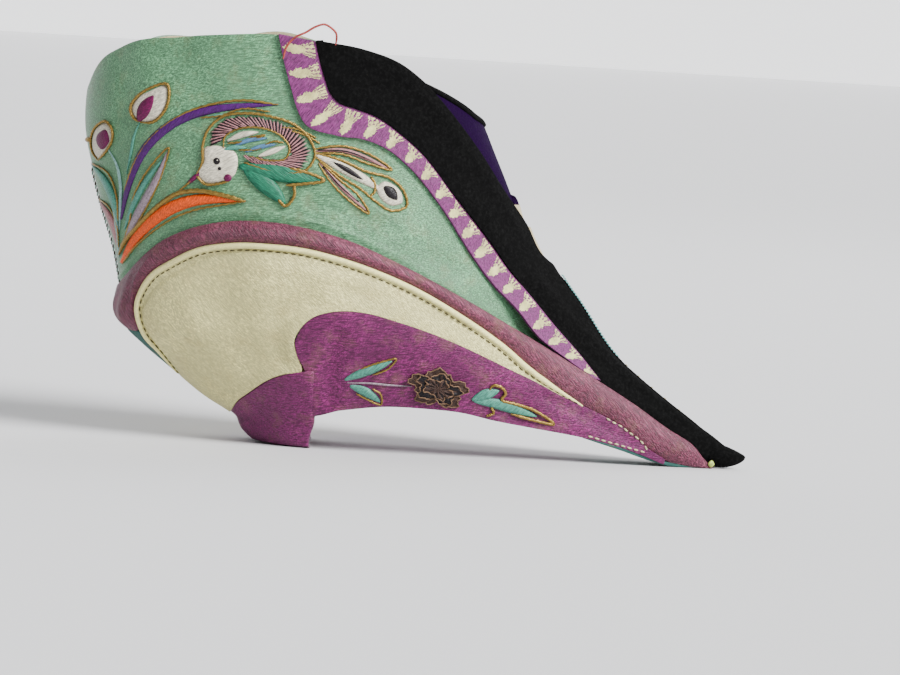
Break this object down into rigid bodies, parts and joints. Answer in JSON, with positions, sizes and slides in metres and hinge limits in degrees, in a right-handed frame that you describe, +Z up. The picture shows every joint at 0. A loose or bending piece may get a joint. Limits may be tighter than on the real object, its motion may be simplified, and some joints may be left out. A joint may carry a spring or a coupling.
{
  "type": "lotus shoe",
  "caption": "Small heeled shoe for a bound foot: embroidered satin upper open at collar and throat, felt vamp, woven ribbon, padded band, arched sole with covered heel and pointed toe.",
  "frame": {"origin": "on the floor, under the middle of the shoe's length and width", "axes": "+X from heel to toe, +Y to the shoe's left, +Z up"},
  "size_m": [0.145, 0.0544, 0.087],
  "materials": {
    "wood": "bare carved wood under the covers",
    "mint_satin": "mint green silk satin with embroidery",
    "black_felt": "matt black felt",
    "woven_ribbon": "violet woven ribbon with cream leaves",
    "mauve_silk": "padded mauve silk",
    "cream_satin": "cream silk satin",
    "magenta_satin": "magenta silk satin",
    "teal_cloth": "teal cotton cloth",
    "purple_silk": "dark purple silk bound in black",
    "ivory_cloth": "plain ivory cotton"
  },
  "bodies": {
    "root": {"sole": "wood", "insole": "ivory_cloth", "upper": "mint_satin", "tongue": "purple_silk", "throat_facing": "ivory_cloth", "vamp_left": "black_felt", "vamp_right": "black_felt", "ribbon_left": "woven_ribbon", "ribbon_right": "woven_ribbon", "front_seam": "black_felt", "back_seam": "mint_satin", "rim_band_left": "mauve_silk", "rim_band_right": "mauve_silk", "piping_left": "cream_satin", "piping_right": "cream_satin", "side_cover_left": "cream_satin", "side_cover_right": "cream_satin", "back_gusset": "teal_cloth", "heel_cap": "magenta_satin", "arch_cover": "magenta_satin", "toe_strip": "teal_cloth"}
  },
  "joints": []
}
